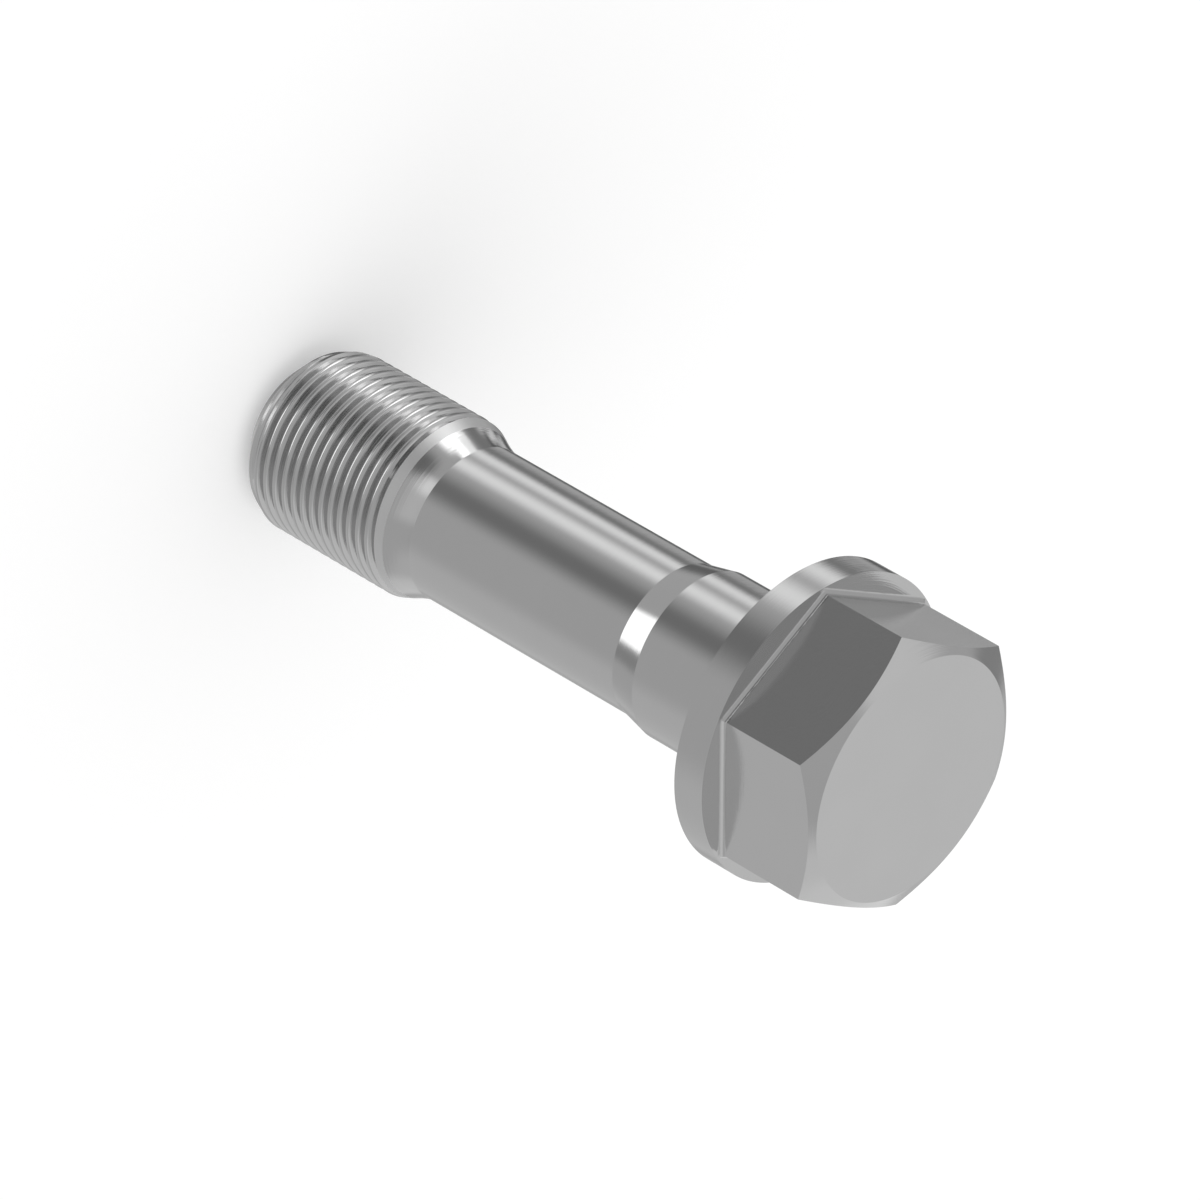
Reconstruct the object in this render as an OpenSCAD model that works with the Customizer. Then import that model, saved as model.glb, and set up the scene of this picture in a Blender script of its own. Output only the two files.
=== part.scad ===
// Hex flange screw with a locating shoulder, a waisted shank and a fine thread.
// One forging, machined all over: head, flange, shank and thread are one piece.
// It stands on the flat end of its thread, head up, with Z along its axis.

/* [Head] */
// Distance across the flats of the hexagon, the size of the spanner
across_flats = 22; // [19:0.5:27]
// Height of the hexagon above the flange
hex_height = 9.5; // [7:0.1:14]
// How far the round edge of the top face lies inside the flats
crown_inset = 0.55; // [0.2:0.05:1.5]
// Angle of the turned chamfer that trims the six corners, from the top face
crown_angle = 30; // [15:1:40]
// Radius of the fillet between each flat and the flange
foot_radius = 0.5; // [0.2:0.05:1]

/* [Flange] */
// How far the flange stands out past the corners of the hexagon
flange_overhang = 0.5; // [0.3:0.1:4]
// Thickness of the flange
flange_height = 2.95; // [2:0.05:5]
// Radius of the fillet under the flange, where the shoulder starts
seat_radius = 0.6; // [0.2:0.1:1]

/* [Shank] */
// Diameter of the locating shoulder under the flange
shoulder_d = 14.6; // [14.2:0.1:15.4]
// Length of the shoulder, from the bearing face
shoulder_length = 10.45; // [6:0.05:20]
// Diameter of the long waist
waist_d = 13.4; // [11.5:0.1:13.8]
// Length of the cone from the shoulder down to the waist
taper_length = 2.75; // [1.5:0.05:5]
// Length of the waist
waist_length = 22.7; // [10:0.1:60]
// Length of the hollow run-out that swells from the waist to the thread
runout_length = 2.25; // [1.5:0.05:4]
// Radius of the hollow of the run-out
runout_radius = 11; // [6:0.5:30]

/* [Thread] */
// Major diameter of the thread
thread_d = 15.875; // [15.875:0.001:19.05]
// Length of the thread at its full diameter
thread_length = 12.95; // [8:0.05:30]
// How far below the crests the run-out ends and the entry cone begins
entry_drop = 0.5; // [0.4:0.05:0.8]
// Length of the entry cone at the shank end of the thread
entry_length = 1.1; // [0.8:0.05:2]
// How far the lead cone drops below the crests
lead_drop = 0.6; // [0.4:0.05:0.9]
// Length of the lead cone
lead_length = 1.4; // [1:0.05:3]
// Length of the 45 degree point behind the flat end
point_length = 1.55; // [0.8:0.05:2.5]

/* [Hidden] */
$fn = 96;

hex_corner_r = across_flats / 2 / cos(30);
flange_r = hex_corner_r + flange_overhang;
crown_r = across_flats / 2 - crown_inset;
shoulder_r = shoulder_d / 2;
waist_r = waist_d / 2;
thread_r = thread_d / 2;
entry_r = thread_r - entry_drop;
lead_r = thread_r - lead_drop;
point_r = lead_r - point_length;

// Heights of the edges, from the flat end up to the top face.
z_lead = point_length;
z_thread = z_lead + lead_length;
z_entry = z_thread + thread_length;
z_runout = z_entry + entry_length;
z_waist = z_runout + runout_length;
z_taper = z_waist + waist_length;
z_shoulder = z_taper + taper_length;
z_seat = z_shoulder + shoulder_length;
z_flange = z_seat + flange_height;
z_top = z_flange + hex_height;

// Centre of the round hollow of the run-out: it passes through the end of the
// waist and the start of the entry cone, and lies outside the metal.
run_dr = entry_r - waist_r;
run_chord = norm([run_dr, runout_length]);
run_rise = sqrt(pow(runout_radius, 2) - pow(run_chord / 2, 2));
run_centre = [(waist_r + entry_r) / 2 + run_rise * runout_length / run_chord,
              (z_waist + z_runout) / 2 + run_rise * run_dr / run_chord];

// The whole turned outline up to the top of the flange, as half a section.
module shank_section() {
    difference() {
        polygon([
            [0, 0],
            [point_r, 0],
            [lead_r, z_lead],
            [thread_r, z_thread],
            [thread_r, z_entry],
            [entry_r, z_runout],
            [waist_r, z_waist],
            [waist_r, z_taper],
            [shoulder_r, z_shoulder],
            [shoulder_r, z_seat - seat_radius],
            [shoulder_r + seat_radius, z_seat],
            [flange_r, z_seat],
            [flange_r, z_flange],
            [0, z_flange]
        ]);
        // The fillet under the flange.
        translate([shoulder_r + seat_radius, z_seat - seat_radius])
            circle(r = seat_radius, $fn = 96);
        // The hollow of the run-out, between the waist and the entry cone.
        intersection() {
            translate(run_centre)
                circle(r = runout_radius, $fn = 360);
            translate([0, z_runout])
                square([thread_r, runout_length]);
        }
    }
}

module shank() {
    rotate_extrude($fn = 180)
        shank_section();
}

// The outline of one pair of flats, seen along them: upright walls that flare
// out through a round fillet onto the flange.
module flats_section() {
    half = across_flats / 2;
    difference() {
        translate([-half - foot_radius, 0])
            square([2 * (half + foot_radius), hex_height + flange_height]);
        for (side = [-1, 1])
            translate([side * (half + foot_radius), flange_height + foot_radius]) {
                circle(r = foot_radius, $fn = 48);
                translate([-foot_radius, 0])
                    square([2 * foot_radius, hex_height]);
            }
    }
}

module flats(turn, span) {
    rotate([0, 0, turn])
        translate([0, span / 2, z_seat])
            rotate([90, 0, 0])
                linear_extrude(height = span)
                    flats_section();
}

// The turned blank that the hexagon is cut from: as wide as the flange, with
// a flat top face and a cone that trims the corners.
module crown() {
    rotate_extrude($fn = 180)
        polygon([
            [0, z_seat],
            [flange_r, z_seat],
            [flange_r, z_top - (flange_r - crown_r) * tan(crown_angle)],
            [crown_r, z_top],
            [0, z_top]
        ]);
}

// Three pairs of flats crossed at 60 degrees give the hexagon, and their
// fillets meet in mitres at its corners.
module head() {
    span = 4 * flange_r;
    intersection() {
        flats(0, span);
        flats(60, span);
        flats(120, span);
        crown();
    }
}

module screw() {
    color("silver") {
        shank();
        head();
    }
}

screw();
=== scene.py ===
# %% [markdown]
# # A hex flange screw in bare steel
# The screw is one forged and turned piece: a hexagon head on a round flange, a shoulder, a waisted
# shank, and a fine thread at the far end. It stands on the flat end of its thread, because lying
# down it would roll on its flange. The first cell loads the CAD model, which fixes every size.

# %% Load the CAD model
import math

import bpy
import numpy as np
from mathutils import Matrix, Vector


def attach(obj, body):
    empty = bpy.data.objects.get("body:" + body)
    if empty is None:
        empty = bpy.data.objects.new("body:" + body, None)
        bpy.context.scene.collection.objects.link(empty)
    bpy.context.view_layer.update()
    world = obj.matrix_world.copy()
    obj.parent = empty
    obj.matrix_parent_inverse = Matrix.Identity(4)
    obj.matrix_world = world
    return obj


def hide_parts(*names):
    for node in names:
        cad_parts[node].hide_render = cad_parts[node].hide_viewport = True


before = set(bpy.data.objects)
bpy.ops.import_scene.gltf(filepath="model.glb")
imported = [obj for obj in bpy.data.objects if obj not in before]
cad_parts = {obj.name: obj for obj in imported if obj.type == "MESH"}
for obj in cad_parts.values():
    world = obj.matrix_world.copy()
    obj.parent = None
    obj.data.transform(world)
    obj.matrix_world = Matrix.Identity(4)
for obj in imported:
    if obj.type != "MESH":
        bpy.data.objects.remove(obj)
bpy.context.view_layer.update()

# %% [markdown]
# ## The sizes of the screw
# A lathe hand reads a screw as a list of diameters and of heights where one turns into the next.
# The same numbers drive the mesh here. They are written in millimetres, the way a workshop drawing
# is, and turned into metres only when the mesh is made. Heights are counted from the flat end of
# the thread, which is the zero of the CAD model.

# %% Radii and heights, in millimetres
flat_distance = 11.0          # centre to a flat of the hexagon
corner_radius = flat_distance / math.cos(math.radians(30))
crown_radius = 10.45          # edge of the flat top, inside the chamfer
crown_slope = math.tan(math.radians(30))
foot_radius = 0.5             # hollow fillet between the flats and the flange
flange_radius = corner_radius + 0.5
seat_radius = 0.6             # hollow fillet under the flange
shoulder_radius, waist_radius = 7.3, 6.7
relief_radius = 7.4375        # foot of the short cone that leads into the thread
thread_radius = 7.9375
lead_radius, end_radius = 7.3375, 5.7875

end_height, lead_height, cone_height = 0.0, 1.55, 2.95
thread_height, relief_height, waist_height = 15.9, 17.0, 19.25
taper_height, shoulder_height, seat_height = 41.95, 44.7, 55.15
flange_height, top_height = 58.1, 67.6
pitch = 25.4 / 24             # twenty-four turns to the inch
millimetre = 0.001            # in metres
print("thread pitch, mm:", round(pitch, 4))

# %% [markdown]
# ## One grid of rings
# Every surface of the screw can be written as rings of points: the same number of points round
# each ring, and one ring after another from the middle of the head's top, down the outside, to the
# middle of the thread's end. Where a ring shrinks to the axis it closes the surface. A column of
# points falls on each corner of the hexagon, so the edges of the head are true straight lines.

# %% Directions round the axis
columns = 240                 # a multiple of 12, so that corners and middles of flats get one
angle = np.arange(columns + 1) * (2 * np.pi / columns)
from_flat = (angle + np.pi / 6) % (np.pi / 3) - np.pi / 6
hexagon = flat_distance / np.cos(from_flat)     # distance to the hexagon in each direction
print("columns:", columns, " hexagon radius, mm:", hexagon.min().round(3), "to", hexagon.max().round(3))

# %% Ways to lay rings
guard_share = 0.02            # how far in from each end of a straight wall its guard ring lies


def ring(radius, height):
    """One ring: a radius and a height for every column, each a number or one value per column."""
    return np.stack([np.broadcast_to(radius, angle.shape),
                     np.broadcast_to(height, angle.shape)], axis=-1)


def lathe(radii, heights):
    """Rings of a round surface: radius r[i] and height h[i] for ring i, the same in each column."""
    shape = (len(radii), columns + 1)
    return np.stack([np.broadcast_to(np.reshape(radii, (-1, 1)), shape),
                     np.broadcast_to(np.reshape(heights, (-1, 1)), shape)], axis=-1)


def between(first, last, steps):
    """Rings that go straight from one ring to another: first + t * (last - first), t from 0 to 1."""
    share = np.linspace(0, 1, steps + 1)[:, None, None]
    return first + share * (last - first)


def guarded(first, last, steps):
    """Straight rings with one more just inside each end, so a rounded corner's shading stays there."""
    inner = np.linspace(0, 1, steps + 1)[1:-1]
    share = np.concatenate([[0, guard_share], inner, [1 - guard_share, 1]])[:, None, None]
    return first + share * (last - first)


def quarter(steps=10):
    """Sines and cosines of angles from 0 to 90 degrees, as columns, for a rounded corner."""
    bend = np.linspace(0, np.pi / 2, steps + 1)[:, None]
    return np.sin(bend), np.cos(bend)


print("a straight wall of one step gets", len(guarded(ring(0, 0), ring(0, 1), 1)), "rings")

# %% [markdown]
# ## The head
# On the real screw the head is forged, and its crown is then turned: a shallow 30 degree chamfer
# meets the six flats in six curved edges. Those curves need no cutting here. Along a column the
# chamfer simply runs out to the hexagon's own distance and falls as it goes, so the edge between
# chamfer and flat comes out as the true curve. At the foot of the flats a small hollow fillet runs
# out onto the flange, and its corners are mitred because each flat carries its own straight fillet.

# %% Rings from the middle of the top to the foot of the flats
crown_edge = top_height - (hexagon - crown_radius) * crown_slope
top_rings = between(ring(0, top_height), ring(crown_radius, top_height), 3)
crown_rings = between(ring(crown_radius, top_height), ring(hexagon, crown_edge), 3)
flat_rings = guarded(ring(hexagon, crown_edge), ring(hexagon, flange_height + foot_radius), 4)

sine, cosine = quarter()
fillet_reach = (flat_distance + foot_radius * (1 - cosine)) / np.cos(from_flat)
fillet_reach = np.minimum(fillet_reach, flange_radius)      # the rim cuts off its corners
fillet_fall = np.broadcast_to(flange_height + foot_radius * (1 - sine), fillet_reach.shape)
foot_rings = np.stack([fillet_reach, fillet_fall], axis=-1)
hexagon_rings = np.concatenate([top_rings, crown_rings, flat_rings, foot_rings])
print("rings down to the foot of the flats:", len(hexagon_rings))

# %% [markdown]
# ## The flange and its seat
# The flange is a turned disc, and its two rims are left crisp, as the photograph shows them. Its
# wall is straight, so it gets the two guard rings that keep a straight wall's shading straight.
# Without them the mirrored stripes would bend at the rims. Under the flange a flat bearing face
# runs in to a hollow fillet, the strongest way to join head and shank.

# %% Rings over the flange and down to the shoulder
ledge_rings = guarded(foot_rings[-1], ring(flange_radius, flange_height), 3)
wall_rings = guarded(ring(flange_radius, flange_height), ring(flange_radius, seat_height), 1)
bearing_rings = guarded(ring(flange_radius, seat_height),
                        ring(shoulder_radius + seat_radius, seat_height), 3)
seat_rings = lathe(shoulder_radius + seat_radius * (1 - sine),
                   seat_height - seat_radius * (1 - cosine))
head_rings = np.concatenate([hexagon_rings, ledge_rings, wall_rings, bearing_rings, seat_rings])
print("rings in the head:", len(head_rings))

# %% [markdown]
# ## The shank
# Below the head the screw is thinned so that it stretches evenly when it is tightened. The
# shoulder tapers to the waist, and the waist flares again, in a hollow cut by the flank of a round
# tool, to the cone where the thread starts. A hollow of constant radius is a piece of a circle, so
# its rings are found from the circle's centre.

# %% Rings from the shoulder to the thread
tool_radius = 11.0
tool_reach, tool_level = 17.461, 21.531         # where the tool's centre stands: radius and height
hollow_steps = 12
hollow_height = np.linspace(waist_height, relief_height, hollow_steps + 1)
hollow_reach = tool_reach - np.sqrt(tool_radius ** 2 - (hollow_height - tool_level) ** 2)
hollow_reach[0], hollow_reach[-1] = waist_radius, relief_radius
shank_rings = np.concatenate([
    guarded(ring(shoulder_radius, seat_height - seat_radius), ring(shoulder_radius, shoulder_height), 2),
    between(ring(shoulder_radius, shoulder_height), ring(waist_radius, taper_height), 2),
    between(ring(waist_radius, taper_height), ring(waist_radius, waist_height), 4),
    lathe(hollow_reach, hollow_height)])
end_rings = np.concatenate([
    between(ring(lead_radius, lead_height), ring(end_radius, end_height), 3),
    between(ring(end_radius, end_height), ring(0, end_height), 2)])
print("rings in the shank:", len(shank_rings), " hollow from", hollow_reach[0], "to", hollow_reach[-1])

# %% [markdown]
# ## The thread
# A thread is a groove that climbs one pitch for each turn. Rings that lie level would cross it at
# a slant and leave its edges ragged, so here the rings climb with the groove: each one keeps its
# own place in the groove's section for the whole length of the thread. Where such a ring would
# leave the threaded stretch it is held at that level, and the points that fall together there are
# welded. The groove has straight flanks at 60 degrees to each other and a small round root. The
# crests are broadly rounded, as rolling leaves them, and that is what draws a soft light on each.

# %% The groove's section: a root arc, a straight flank and a crest arc
crest_round, root_round = 0.26, 0.06            # radii of the two arcs, in shares of the pitch
lean = math.radians(60)                         # an arc turns this far before it meets the flank
flank_guard = np.array([0.04, 0.96])            # two rings on the flank keep its shading flat


def arc(radius, steps):
    """An arc from its middle to the flank: aside = radius * sin(a), drop = radius * (1 - cos(a))."""
    turn = np.linspace(0, lean, steps + 1)
    return radius * np.sin(turn), radius * (1 - np.cos(turn))


root_aside, root_rise = arc(root_round, 3)
crest_aside, crest_fall = arc(crest_round, 4)
flank_width = 0.5 - root_aside[-1] - crest_aside[-1]
full_depth = root_rise[-1] + math.tan(lean) * flank_width + crest_fall[-1]
flank_place = root_aside[-1] + flank_guard * flank_width
flank_depth = full_depth - root_rise[-1] - flank_guard * flank_width * math.tan(lean)
half_place = np.concatenate([root_aside, flank_place, 0.5 - crest_aside[::-1]])
half_depth = np.concatenate([full_depth - root_rise, flank_depth, crest_fall[::-1]])
section = np.concatenate([-half_place[-2:0:-1], half_place])
section_depth = np.concatenate([half_depth[-2:0:-1], half_depth])
print("rings to a pitch:", len(section), " groove depth, mm:", round(pitch * full_depth, 3))

# %% Rings that climb with the groove
first_groove, front = 15.94, math.radians(315)  # the first groove's height, on the side that is seen
turn_count = np.arange(-2, 15)                  # turns from that groove, enough to pass both ends
lift_end, lift_length = 0.75, 0.45              # in turns: where the groove ends, and how long it lifts

place = (turn_count[:, None] + section).ravel()              # in pitches, downwards
own_depth = pitch * np.tile(section_depth, len(turn_count))
climb = first_groove + pitch * (angle - front) / (2 * np.pi)
height = np.clip(climb - pitch * place[:, None], lead_height, relief_height)
blank = np.interp(height, [lead_height, cone_height, thread_height, relief_height],
                  [lead_radius, thread_radius, thread_radius, relief_radius])
along = (angle - front) / (2 * np.pi) - np.repeat(turn_count, len(section))[:, None]
fade = np.clip((lift_end - along) / lift_length, 0, 1)
fade = fade * fade * (3 - 2 * fade)             # a smooth step, so the groove lifts out gently
depth = own_depth[:, None] * fade
thread_rings = np.stack([np.minimum(blank, thread_radius - depth), height], axis=-1)
print("climbing rings:", len(thread_rings), " deepest cut, mm:", round(float(depth.max()), 3))

# %% [markdown]
# ## From rings to a closed shell
# All rings are now set under each other as one long grid. Neighbouring points make four-sided
# faces, points that lie in the same place are made one, and faces that have lost a side there
# become triangles or vanish. What is left is one closed skin with its faces outwards.

# %% Weld the grid
weld_scale = 1e8              # points are the same to the nearest hundred-millionth of a metre
weld_offset = 0.37            # an odd share of that, so that no round size falls on a rounding edge


def grid_faces(rows):
    """Four corners for each cell of a grid of rows by columns, in the order that faces outwards."""
    row, column = np.meshgrid(np.arange(rows - 1), np.arange(columns), indexing="ij")
    corner = (row * (columns + 1) + column).ravel()
    return np.stack([corner, corner + columns + 1, corner + columns + 2, corner + 1], axis=1)


rings = np.concatenate([head_rings, shank_rings, thread_rings, end_rings])
radius, level = rings[..., 0], rings[..., 1]
points = np.stack([radius * np.cos(angle), radius * np.sin(angle), level], axis=-1)
points = points.reshape(-1, 3) * millimetre
key = np.round(points * weld_scale + weld_offset).astype(np.int64)
_, first, welded = np.unique(key, axis=0, return_index=True, return_inverse=True)
quads = welded.ravel()[grid_faces(len(rings))]
same = quads == np.roll(quads, -1, axis=1)      # a corner that equals the next one is dropped
sides = 4 - same.sum(axis=1)
quads, same, sides = quads[sides > 2], same[sides > 2], sides[sides > 2]
loops = quads[~same]
starts = np.concatenate([[0], np.cumsum(sides)[:-1]])
print("points:", len(points), " after welding:", len(first))

# %% Build the mesh
skin = bpy.data.meshes.new("screw_body")
skin.vertices.add(len(first))
skin.vertices.foreach_set("co", points[first].ravel())
skin.loops.add(len(loops))
skin.loops.foreach_set("vertex_index", loops.astype(np.int32))
skin.polygons.add(len(sides))
skin.polygons.foreach_set("loop_start", starts.astype(np.int32))
skin.polygons.foreach_set("use_smooth", np.ones(len(sides), dtype=bool))
skin.update(calc_edges=True)
skin.validate()
print("faces:", len(sides), " triangles:", int((sides - 2).sum()))

# %% Keep the edges crisp: all sharper than 27 degrees, and three shallow ones on the shank
crisp_angle = math.radians(27)
level_slack = 1e-4            # millimetres between a point and the level of its edge
skin.set_sharp_from_angle(angle=crisp_angle)
ends = np.empty(2 * len(skin.edges), dtype=np.int32)
skin.edges.foreach_get("vertices", ends)
end_level = points[first][:, 2][ends.reshape(-1, 2)] / millimetre
crisp = np.empty(len(skin.edges), dtype=bool)
skin.attributes["sharp_edge"].data.foreach_get("value", crisp)
shallow = np.array([shoulder_height, taper_height, waist_height])
crisp |= (np.abs(end_level[:, :, None] - shallow) < level_slack).all(axis=1).any(axis=1)
skin.attributes["sharp_edge"].data.foreach_set("value", crisp)
print("crisp edges:", int(crisp.sum()), "of", len(crisp))

# %% The screw as an object that stands for the CAD piece
screw = bpy.data.objects.new("screw_body", skin)
bpy.context.scene.collection.objects.link(screw)
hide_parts("screw")
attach(screw, "root")
print("object:", screw.name, " at:", tuple(screw.location))

# %% [markdown]
# ## Bare steel
# Steel has no colour of its own beyond the grey of what it mirrors, so its shader is fully
# metallic. What makes it look turned and not chromed is the finish: fine rings left by the tool,
# too small to see one by one, and a gloss that changes a little from place to place. The rings
# are a noise read by height and by distance from the axis, so they run round the screw. The short
# cone that leads into the thread is rougher, as the rolling dies leave it, so it is matt and paler.
# It is picked out by a sum: on a cone, radius plus slope times height is the same all over.

# %% Helpers for node trees


def node(tree, kind, inputs=None, **settings):
    """Adds a node, sets its properties, and links or sets its inputs.

    Inputs go by name, or by number where a node has several of one name. On a Mix node 0 is the
    share, 2 and 3 are the two numbers, and 6 and 7 are the two colours.
    """
    made = tree.nodes.new(kind)
    for name, value in settings.items():
        setattr(made, name, value)
    for name, value in (inputs or {}).items():
        if isinstance(value, bpy.types.NodeSocket):
            tree.links.new(value, made.inputs[name])
        else:
            made.inputs[name].default_value = value
    return made


def grey(value):
    """A colour with the same red, green and blue."""
    return (value, value, value, 1)


steel = bpy.data.materials.new("bare_steel")
steel.use_nodes = True
tree = steel.node_tree
tree.nodes.clear()
print("material:", steel.name)

# %% Marks that the tool leaves round the screw, and a gloss that changes from place to place
mark_scale, cloud_scale = 9000.0, 180.0         # noise cells to the metre
turned_rough = (0.1, 0.14)                      # least and most roughness on the turned faces
where = node(tree, "ShaderNodeTexCoord").outputs["Object"]
apart = node(tree, "ShaderNodeSeparateXYZ", {0: where}).outputs
flat = node(tree, "ShaderNodeCombineXYZ", {"X": apart["X"], "Y": apart["Y"]}).outputs[0]
reach = node(tree, "ShaderNodeVectorMath", {0: flat}, operation="LENGTH").outputs["Value"]
turned = node(tree, "ShaderNodeCombineXYZ", {"X": reach, "Y": apart["Z"]}).outputs[0]
marks = node(tree, "ShaderNodeTexNoise", {"Vector": turned, "Scale": mark_scale,
                                          "Detail": 2.0, "Roughness": 0.6}).outputs["Fac"]
cloud = node(tree, "ShaderNodeTexNoise", {"Vector": where, "Scale": cloud_scale,
                                          "Detail": 3.0, "Roughness": 0.55}).outputs["Fac"]
turned_gloss = node(tree, "ShaderNodeMapRange", {"Value": cloud, "From Min": 0.3, "From Max": 0.7,
                                                 "To Min": turned_rough[0],
                                                 "To Max": turned_rough[1]}).outputs[0]
print("size of a tool mark, mm:", round(1000 / mark_scale, 2), " of a cloud:", round(1000 / cloud_scale, 1))

# %% Where the matt cone lies
slope = (thread_radius - relief_radius) / (relief_height - thread_height)
cone_sum = millimetre * (thread_radius + slope * thread_height)
cone_top = millimetre * relief_height
# in metres: the finish starts cone_from under the cone's sum, and is whole from cone_to under it
cone_from, cone_to = 0.00005, 0.00002
rim_soft = 0.00003            # metres that the cone's upper rim is softened either way
measured = node(tree, "ShaderNodeMath", {0: apart["Z"], 1: slope, 2: reach},
                operation="MULTIPLY_ADD").outputs[0]
on_cone = node(tree, "ShaderNodeMapRange", {"Value": measured, "From Min": cone_sum - cone_from,
                                            "From Max": cone_sum - cone_to}).outputs[0]
below = node(tree, "ShaderNodeMapRange", {"Value": apart["Z"], "From Min": cone_top - rim_soft,
                                          "From Max": cone_top + rim_soft,
                                          "To Min": 1.0, "To Max": 0.0}).outputs[0]
matt = node(tree, "ShaderNodeMath", {0: on_cone, 1: below}, operation="MULTIPLY").outputs[0]
print("radius + slope * height on the cone, mm:", round(1000 * cone_sum, 3))

# %% The steel's shader
cone_rough = 0.45
turned_greys, cone_grey = (0.575, 0.605), 0.69
gloss = node(tree, "ShaderNodeMix", {0: matt, 2: turned_gloss, 3: cone_rough}).outputs[0]
turned_tone = node(tree, "ShaderNodeMix", {0: cloud, 6: grey(turned_greys[0]), 7: grey(turned_greys[1])},
                   data_type="RGBA").outputs[2]
tone = node(tree, "ShaderNodeMix", {0: matt, 6: turned_tone, 7: grey(cone_grey)},
            data_type="RGBA").outputs[2]
grain = node(tree, "ShaderNodeBump", {"Height": marks, "Strength": 0.05, "Distance": 0.0002})
shader = node(tree, "ShaderNodeBsdfPrincipled", {"Base Color": tone, "Roughness": gloss, "Metallic": 1.0,
                                                 "Normal": grain.outputs[0]})
node(tree, "ShaderNodeOutputMaterial", {"Surface": shader.outputs[0]})
skin.materials.append(steel)
print("materials on the screw:", [slot.name for slot in screw.data.materials])

# %% [markdown]
# ## The floor
# The floor is a plain pale sheet at the height of the thread's end. It takes the light of the
# room and the soft shadow of the screw, and a little light of its own brings it up to white.
# It is kept out of mirror rays, so that the steel mirrors the studio's cards and not the sheet.

# %% The pale sheet
half_side = 20.0              # metres from the middle of the sheet to a side
paper_grey, paper_glow = 0.8, 0.24
sheet_corners = [(-half_side, -half_side, 0), (half_side, -half_side, 0),
                 (half_side, half_side, 0), (-half_side, half_side, 0)]
floor_mesh = bpy.data.meshes.new("floor")
floor_mesh.from_pydata(sheet_corners, [], [(0, 1, 2, 3)])
floor = bpy.data.objects.new("floor", floor_mesh)
bpy.context.scene.collection.objects.link(floor)
floor.visible_glossy = False
paper = bpy.data.materials.new("pale_sheet")
paper.use_nodes = True
sheet = paper.node_tree.nodes["Principled BSDF"].inputs
sheet["Base Color"].default_value = grey(paper_grey)
sheet["Roughness"].default_value = 1.0
sheet["Specular IOR Level"].default_value = 0.0
sheet["Emission Color"].default_value = grey(1)
sheet["Emission Strength"].default_value = paper_glow
floor_mesh.materials.append(paper)
print("floor, m:", 2 * half_side, "square")

# %% [markdown]
# ## The studio that the steel mirrors
# A polished cylinder shows the whole room as stripes, so photographers build its look from cards:
# white ones that draw a bright stripe along the shank, and dark ones that draw the edge beside it.
# Here the room is the world's light. Each card is a soft-edged patch at an azimuth and an
# elevation, in degrees, painted over the grey of the room and over the cards before it.

# %% A way to paint cards in the world
world = bpy.data.worlds.new("studio")
bpy.context.scene.world = world
world.use_nodes = True
tree = world.node_tree
tree.nodes.clear()
generated = node(tree, "ShaderNodeTexCoord").outputs["Generated"]
toward = node(tree, "ShaderNodeVectorMath", {0: generated}, operation="NORMALIZE").outputs["Vector"]
height_part = node(tree, "ShaderNodeSeparateXYZ", {0: toward}).outputs["Z"]
elevation = node(tree, "ShaderNodeMath", {0: height_part}, operation="ARCSINE").outputs[0]


def span(value, centre, half_width, edge):
    """A soft window: 1 within half_width of centre, falling smoothly to 0 over edge, in degrees."""
    off = node(tree, "ShaderNodeMath", {0: value, 1: math.radians(centre)}, operation="SUBTRACT").outputs[0]
    off = node(tree, "ShaderNodeMath", {0: off}, operation="ABSOLUTE").outputs[0]
    return node(tree, "ShaderNodeMapRange", {"Value": off, "From Min": math.radians(half_width),
                                             "From Max": math.radians(half_width + edge),
                                             "To Min": 1.0, "To Max": 0.0},
                interpolation_type="SMOOTHSTEP").outputs[0]


def part_along(direction):
    """How far the ray points along a direction: the dot product of the two."""
    return node(tree, "ShaderNodeVectorMath", {0: toward, 1: direction},
                operation="DOT_PRODUCT").outputs["Value"]


def card(under, azimuth, tall, half_wide, half_tall, edge_wide, edge_tall, level):
    """Paints a soft patch of one level over what is under it; tall is its elevation."""
    turn = math.radians(azimuth)
    ahead = part_along((math.cos(turn), math.sin(turn), 0))
    aside = part_along((-math.sin(turn), math.cos(turn), 0))
    swing = node(tree, "ShaderNodeMath", {0: aside, 1: ahead}, operation="ARCTAN2").outputs[0]
    mask = node(tree, "ShaderNodeMath", {0: span(swing, 0, half_wide, edge_wide),
                                         1: span(elevation, tall, half_tall, edge_tall)},
                operation="MULTIPLY").outputs[0]
    return node(tree, "ShaderNodeMix", {0: mask, 2: under, 3: level}).outputs[0]


print("world:", world.name)

# %% The cards that hang in the room
room_level = 0.52             # the grey of the room where no card hangs
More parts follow.
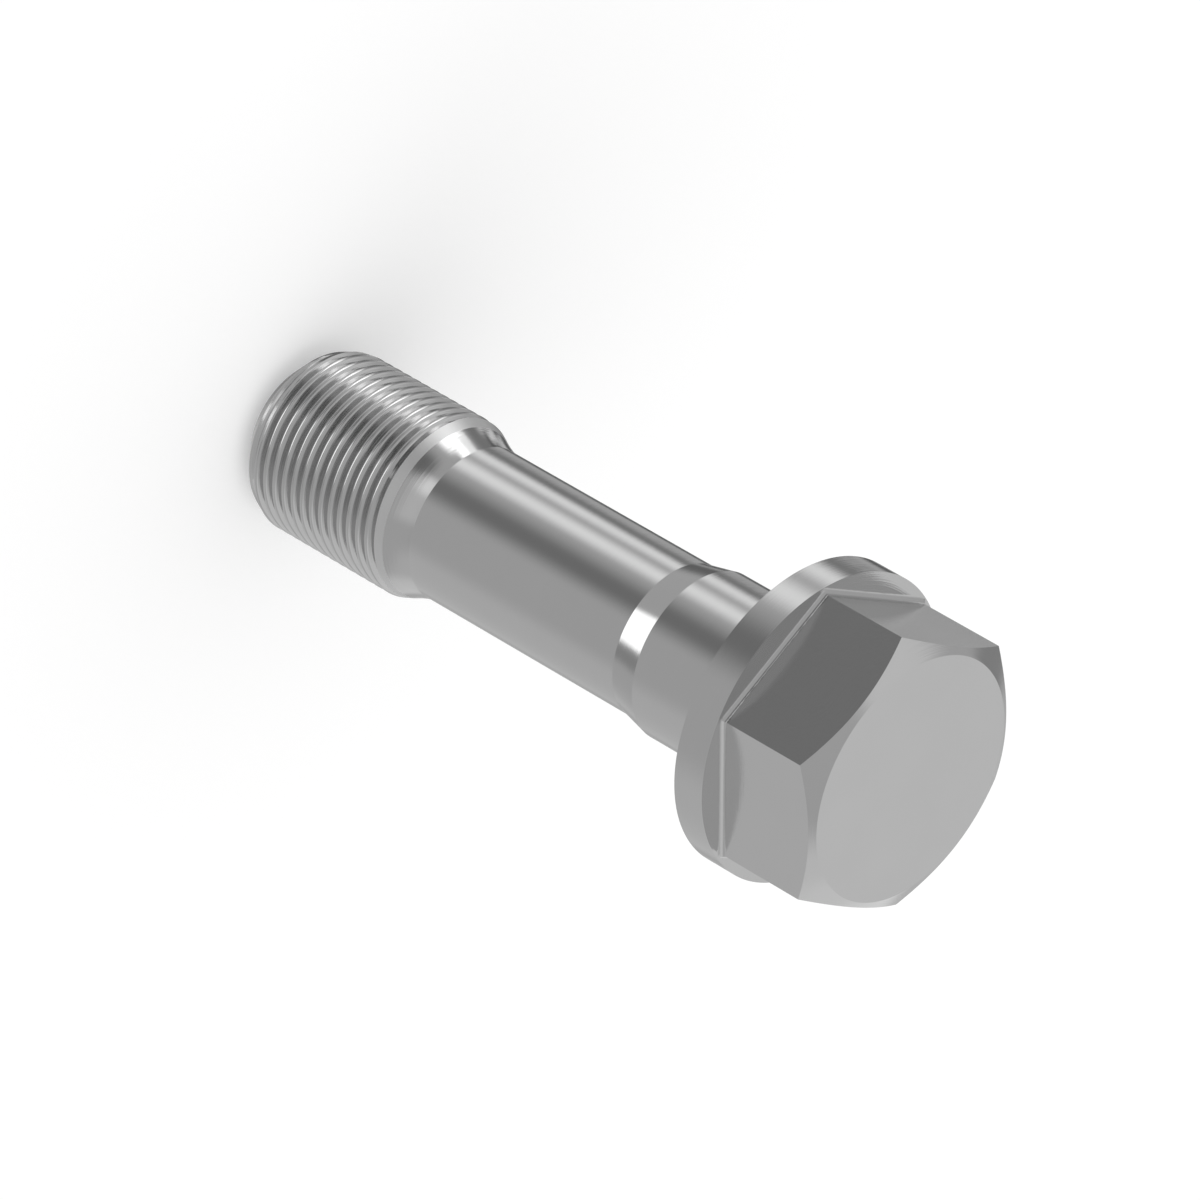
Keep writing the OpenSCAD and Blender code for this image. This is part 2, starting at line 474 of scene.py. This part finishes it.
# each card: azimuth, elevation, half its width and height, its soft edge's width and height, level
hung = [(72, -27, 28, 12, 30, 12, 0.61),        # the bright side of the room, low down
        (94, 33, 50, 8, 27, 18, 0.75),          # and above it, which the head's top mirrors
        (100, 17, 8, 8, 14, 10, 0.82),          # two paler ones between them, for the crown's low side
        (116, -1, 6, 6, 12, 10, 0.9),
        (-147, 50, 19, 20, 15, 14, 0.77),       # a pale card high on the left
        (90, -19, 8, 7, 22, 9, 0.74),           # a paler middle for the bright side, and its grey end
        (118, -32, 5, 12, 10, 10, 0.47),
        (165, -47, 20, 8, 19, 4, 0.16),         # dark cards at the far left, which draw one outline
        (-160, -21, 7, 17, 13, 12, 0.26),
        (170, -21, 18, 10, 4, 4, 0.08),
        (155, -34, 11, 6, 11, 3, 0.47),         # a grey sill under them, and a pale gap that leans
        (165, -28, 3, 2, 9, 3, 0.61),
        (178, -21, 3, 2, 8, 4, 0.81),
        (-173, -10, 4, 3, 10, 5, 0.7),
        (153, -35, 3, 6, 7, 5, 0.1),            # a dark line and a pale end on the sill
        (131, -38, 2, 6, 8, 8, 0.62),
        (-69, -34, 3, 12, 29, 8, 0.23),         # dark cards beside the bright stripe
        (-79, 8, 5, 7, 20, 10, 0.19),
        (-36, -6, 18, 7, 16, 8, 0.66),          # a pale gap between them, brightest at one end
        (-60, -9, 4, 4, 14, 8, 1.0),
        (-74, -23, 14, 2, 12, 5, 0.1),          # dark strips that only the thread's grooves mirror
        (-20, -23, 26, 2, 16, 5, 0.25),
        (-131, -8, 3, 4, 12, 4, 2.5),           # the tall white card, in pieces because it leans
        (-124, 4, 6, 7, 14, 9, 2.3),
        (-124.5, -16, 4, 2, 6, 3, 2.4),
        (-136, -14, 4, 9, 4, 3, 1.3),           # its dimmer edge, which the head's flats mirror
        (-116, -38, 1, 6, 18, 7, 1.1),          # and its foot, in two paler stripes
        (-148, -37, 1, 5, 16, 6, 1.05),
        (17, -60, 4, 6, 18, 8, 0.33),           # a dark card low in front, and a white one beside it
        (-33, -66, 26, 13, 9, 8, 1.9),
        (160, 7, 6, 6, 12, 10, 0.31)]           # a small dark card for the crown's far corner
room = node(tree, "ShaderNodeValue").outputs[0]
room.default_value = room_level
for facts in hung:
    room = card(room, *facts)
print("cards hung:", len(hung))

# %% Camera and transmission rays see white, mirror rays the cards, and the rest a plain light
plain_level, white_level = 0.8, 1.0
path = node(tree, "ShaderNodeLightPath").outputs
straight = node(tree, "ShaderNodeMath", {0: path["Is Camera Ray"], 1: path["Is Transmission Ray"]},
                operation="MAXIMUM").outputs[0]
seen = node(tree, "ShaderNodeMath", {0: straight, 1: path["Is Glossy Ray"]}, operation="MAXIMUM").outputs[0]
white = node(tree, "ShaderNodeMix", {0: seen, 2: plain_level, 3: white_level}).outputs[0]
cards = node(tree, "ShaderNodeMix", {0: path["Is Glossy Ray"], 2: 1.0, 3: room}).outputs[0]
strength = node(tree, "ShaderNodeMath", {0: white, 1: cards}, operation="MULTIPLY").outputs[0]
back = node(tree, "ShaderNodeBackground", {"Color": grey(1), "Strength": strength})
node(tree, "ShaderNodeOutputWorld", {"Surface": back.outputs[0]})
print("nodes in the world:", len(tree.nodes))

# %% [markdown]
# ## A lamp for the shadow
# The room's light alone gives only a faint shadow. A wide, soft lamp high on one side gives the
# screw a soft shadow to stand on. It is left out of mirror rays, because the cards do that work.

# %% The soft lamp
lamp_way = Vector((0.55, 0.2, 1.0))             # from the screw towards the lamp
lamp_data = bpy.data.lights.new("soft_lamp", "SUN")
lamp_data.energy = 0.7
lamp_data.angle = math.radians(50)
lamp = bpy.data.objects.new("soft_lamp", lamp_data)
lamp.rotation_euler = lamp_way.to_track_quat("Z", "Y").to_euler()
lamp.visible_glossy = False
bpy.context.scene.collection.objects.link(lamp)
print("lamp's width in the sky, degrees:", round(math.degrees(lamp_data.angle)))

# %% [markdown]
# ## The camera
# The photograph looks down on the head from beside it, with a long lens, and the camera is rolled
# so that the screw lies across the picture. The three directions below are the camera's own: back
# towards it, and right and up in the picture. Its place is found from the middle of the head's top.

# %% Place the camera
back_way = Vector((1, -1, 1)).normalized()
right_way = Vector((-1, 0, 1)).normalized()
up_way = back_way.cross(right_way)
away, across, raised = 59.45, -1.8754, 1.0813   # the camera's place, in corner radii of the head
head_middle = Vector((0, 0, top_height * millimetre))
unit = corner_radius * millimetre
spot = head_middle + unit * (away * back_way + across * right_way + raised * up_way)
lens = bpy.data.cameras.new("camera")
lens.sensor_width = 36.0
lens.lens = 295.85            # millimetres, solved from the photograph's straight and round edges
camera = bpy.data.objects.new("camera", lens)
axes = Matrix((right_way, up_way, back_way)).transposed().to_4x4()
camera.matrix_world = Matrix.Translation(spot) @ axes
bpy.context.scene.collection.objects.link(camera)
bpy.context.scene.camera = camera
bpy.context.scene.view_settings.view_transform = "Standard"
print("camera to the head's top, mm:", round(1000 * (spot - head_middle).length, 1))
